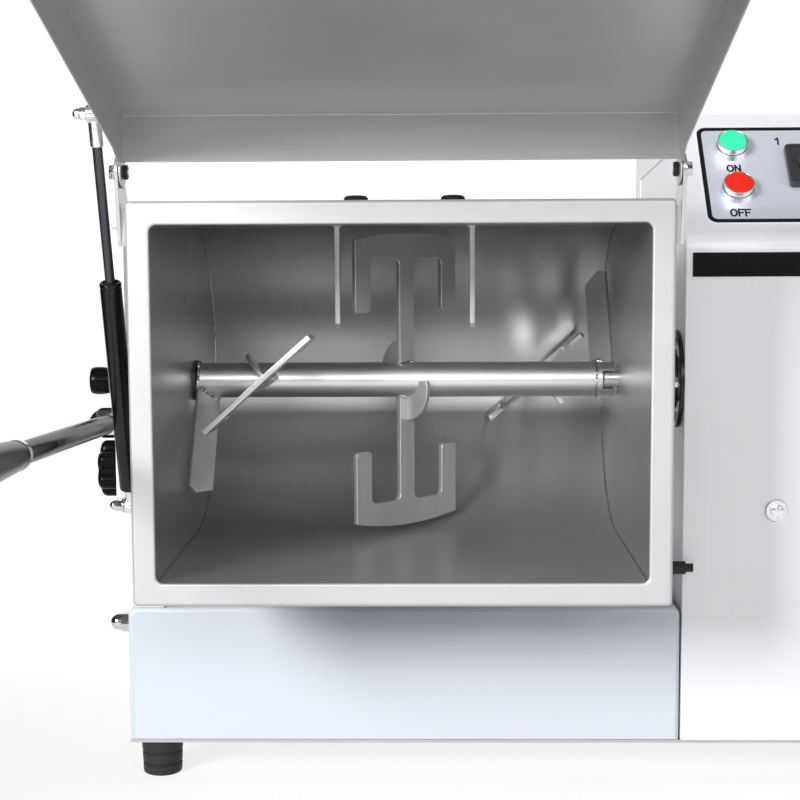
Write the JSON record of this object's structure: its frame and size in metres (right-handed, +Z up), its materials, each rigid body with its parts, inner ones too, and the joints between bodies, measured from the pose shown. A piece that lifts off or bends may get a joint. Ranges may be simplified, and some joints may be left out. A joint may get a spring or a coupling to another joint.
{
  "type": "meat mixer",
  "caption": "Tilting tabletop meat mixer: open trough with fork paddles, hinged lid on a gas spring, tilt lever and a drive housing with a sloped control panel.",
  "frame": {"origin": "middle of the outer box's footprint at the floor, under the rubber feet", "axes": "+Z up; +X to the right as the operator sees it, along the tilt axis from the lever to the drive housing; -Y towards the operator, where the tipped mouth faces"},
  "size_m": [0.7598, 0.907, 0.7095],
  "materials": {
    "satin_steel": "satin, fine grain",
    "rim_steel": "bright brushed",
    "lid_steel": "satin brushed",
    "housing_steel": "pale satin brushed",
    "base_steel": "pale satin brushed",
    "panel_metal": "fine matt silver",
    "chrome": "polished",
    "gas_black": "satin black",
    "black_plastic": "fine matt",
    "grip_plastic": "smooth",
    "rubber": "matt",
    "bearing_polymer": "smooth matt",
    "red_cap": "gloss",
    "green_cap": "gloss",
    "gear_bronze": "machined",
    "gear_steel": "machined, oiled",
    "cast_grey": "as cast"
  },
  "bodies": {
    "frame": {"base_shell": "base_steel", "base_front_panel": "base_steel", "base_plate": "satin_steel", "rubber_feet": "rubber", "left_column": "housing_steel", "column_bush": "bearing_polymer", "base_side_nuts": "chrome", "housing_shell": "housing_steel", "housing_cover": "housing_steel", "housing_screws": "chrome", "control_panel_plate": "panel_metal", "label_plate": "black_plastic", "button_bezels": "chrome", "selector_plate": "black_plastic", "bearing_flange": "satin_steel", "trunnion_bush": "bearing_polymer", "tilt_stop": "rubber", "gear_case": "cast_grey", "shaft_bearings": "chrome", "motor_body": "cast_grey", "switch_blocks": "black_plastic", "contactors": "black_plastic", "cable_gland": "black_plastic"},
    "drum": {"drum_trough": "satin_steel", "left_end_wall": "satin_steel", "right_end_wall": "satin_steel", "stop_lug": "satin_steel", "drum_rim": "rim_steel", "comb_bars": "satin_steel", "rear_bumpers": "rubber", "hinge_ears": "satin_steel", "hinge_bolts": "chrome", "left_trunnion": "gear_steel", "right_trunnion": "gear_steel", "left_shaft_bush": "bearing_polymer", "tilt_plate": "housing_steel", "tilt_lever": "chrome", "lever_grip": "grip_plastic", "gas_lower_mount": "chrome"},
    "lid": {"lid_shell": "lid_steel", "lid_gas_stud": "chrome"},
    "gas_tube": {"gas_cylinder": "gas_black", "gas_cylinder_end": "chrome"},
    "gas_piston": {"gas_rod": "gas_black", "gas_rod_end": "chrome"},
    "agitator": {"agitator_shaft": "satin_steel", "centre_paddles": "satin_steel", "side_paddles": "satin_steel", "end_scrapers": "satin_steel", "paddle_gussets": "satin_steel", "drive_shaft": "chrome", "drive_gear": "gear_bronze"},
    "pinion": {"motor_pinion": "gear_steel"},
    "pin": {"shaft_pin": "chrome", "pin_knob": "black_plastic"},
    "clamp": {"clamp_knob": "black_plastic"},
    "start_button": {"start_cap": "green_cap"},
    "stop_button": {"stop_cap": "red_cap"},
    "selector": {"selector_knob": "black_plastic"}
  },
  "joints": [
    {"name": "tilt", "type": "hinge", "parent": "frame", "child": "drum", "pos_m": [-0.08085, 0.11529, 0.375], "axis": [-1, 0, 0], "range_deg": [0, 90]},
    {"name": "lid_hinge", "type": "hinge", "parent": "drum", "child": "lid", "pos_m": [-0.08085, -0.11671, 0.562], "axis": [1, 0, 0], "range_deg": [0, 107]},
    {"name": "gas_tube_pivot", "type": "hinge", "parent": "drum", "child": "gas_tube", "pos_m": [-0.31785, -0.02371, 0.278], "axis": [1, 0, 0], "range_deg": [0, 7.31]},
    {"name": "gas_rod_slide", "type": "slide", "parent": "gas_tube", "child": "gas_piston", "axis": [0, 0.3467, -0.938], "range_m": [0, 0.0753]},
    {"name": "shaft_spin", "type": "hinge", "parent": "frame", "child": "agitator", "pos_m": [-0.08085, 0.11529, 0.375], "axis": [1, 0, 0], "continuous": true},
    {"name": "pinion_spin", "type": "hinge", "parent": "frame", "child": "pinion", "pos_m": [0.21915, 0.16929, 0.375], "axis": [1, 0, 0], "continuous": true},
    {"name": "shaft_pin_pull", "type": "slide", "parent": "drum", "child": "pin", "axis": [-1, 0, 0], "range_m": [0, 0.02], "stiffness_N_per_m": 500},
    {"name": "clamp_turn", "type": "hinge", "parent": "frame", "child": "clamp", "pos_m": [-0.34085, 0.11529, 0.291], "axis": [-1, 0, 0], "range_deg": [0, 360]},
    {"name": "start_press", "type": "slide", "parent": "frame", "child": "start_button", "axis": [0, 0.749, -0.6626], "range_m": [0, 0.004], "stiffness_N_per_m": 300},
    {"name": "stop_press", "type": "slide", "parent": "frame", "child": "stop_button", "axis": [0, 0.749, -0.6626], "range_m": [0, 0.004], "stiffness_N_per_m": 300},
    {"name": "selector_turn", "type": "hinge", "parent": "frame", "child": "selector", "pos_m": [0.30265, 0.1276, 0.57078], "axis": [0, -0.749, 0.6626], "range_deg": [-45, 45]}
  ],
  "couplings": [
    {"joint": "gas_tube_pivot", "follows": "lid_hinge", "ratio": 0.067397},
    {"joint": "gas_rod_slide", "follows": "lid_hinge", "m_per_rad": 0.040074},
    {"joint": "pinion_spin", "follows": "shaft_spin", "ratio": -2}
  ]
}
